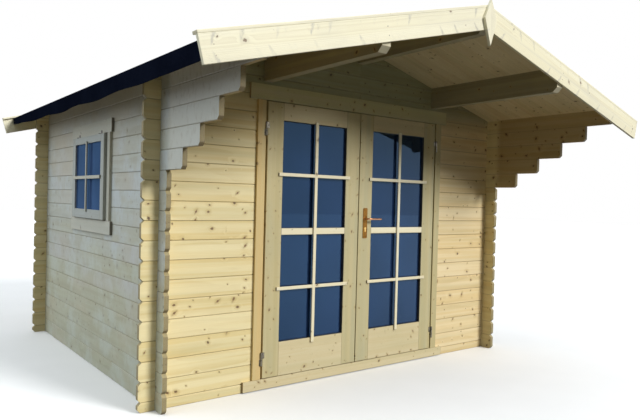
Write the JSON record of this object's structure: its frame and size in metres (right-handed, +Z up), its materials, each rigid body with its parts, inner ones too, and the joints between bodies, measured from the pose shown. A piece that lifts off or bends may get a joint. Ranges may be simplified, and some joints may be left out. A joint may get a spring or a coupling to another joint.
{
  "type": "log summer house",
  "caption": "Small timber log cabin with interlocking corners, glazed double door, side windows and a deep front canopy on stepped bracket logs under a low gable roof.",
  "frame": {"origin": "on the ground, at the middle of the house's outline seen from above, roof overhangs included", "axes": "+X to the right along the door wall, +Y from the door wall to the rear, +Z up"},
  "size_m": [3.617, 3.8732, 2.3869],
  "materials": {
    "brass": "lacquered brass",
    "felt": "dark bitumen felt with fine mineral grain",
    "glass": "clear float glass",
    "joinery_wood": "planed spruce joinery, satin",
    "joist_wood": "pressure treated spruce, matt",
    "log_wood": "untreated spruce logs, planed, satin",
    "pale_wood": "planed spruce boards, matt",
    "roof_wood": "planed spruce boards, matt",
    "zinc": "zinc plated"
  },
  "bodies": {
    "root": {"door_head": "joinery_wood", "floor_boards": "roof_wood", "floor_joists": "joist_wood", "front_cap_strips": "pale_wood", "front_finial": "pale_wood", "front_gable": "log_wood", "front_left_bargeboard": "pale_wood", "front_right_bargeboard": "pale_wood", "front_sill_log": "log_wood", "front_wall_left": "log_wood", "front_wall_right": "log_wood", "jamb_hinges": "zinc", "left_door_jamb": "joinery_wood", "left_purlin": "roof_wood", "left_roof_boards": "roof_wood", "left_wall": "log_wood", "left_window_frame": "joinery_wood", "left_window_glass": "glass", "left_window_sash": "joinery_wood", "rear_cap_strips": "pale_wood", "rear_finial": "pale_wood", "rear_gable": "log_wood", "rear_left_bargeboard": "pale_wood", "rear_right_bargeboard": "pale_wood", "rear_wall": "log_wood", "ridge_purlin": "roof_wood", "right_door_jamb": "joinery_wood", "right_purlin": "roof_wood", "right_roof_boards": "roof_wood", "right_wall": "log_wood", "right_window_frame": "joinery_wood", "right_window_glass": "glass", "right_window_sash": "joinery_wood", "roof_felt": "felt", "threshold": "joinery_wood", "window_hinges": "zinc"},
    "left_leaf": {"left_door_leaf": "joinery_wood", "left_door_glass": "glass", "left_leaf_hinges": "zinc"},
    "right_leaf": {"right_door_leaf": "joinery_wood", "right_door_glass": "glass", "right_leaf_hinges": "zinc", "handle_plates": "brass", "lock_cylinder": "brass"},
    "lever": {"lever_handle": "brass"}
  },
  "joints": [
    {"name": "left_leaf_hinge", "type": "hinge", "parent": "root", "child": "left_leaf", "pos_m": [-0.792, -0.8448, 0.96], "axis": [0, 0, -1], "range_deg": [0, 110]},
    {"name": "right_leaf_hinge", "type": "hinge", "parent": "root", "child": "right_leaf", "pos_m": [0.792, -0.8448, 0.96], "axis": [0, 0, 1], "range_deg": [0, 110]},
    {"name": "lever_turn", "type": "hinge", "parent": "right_leaf", "child": "lever", "pos_m": [0.064, -0.86, 1.098], "axis": [0, 1, 0], "range_deg": [0, 40], "stiffness_Nm_per_rad": 1.2}
  ]
}
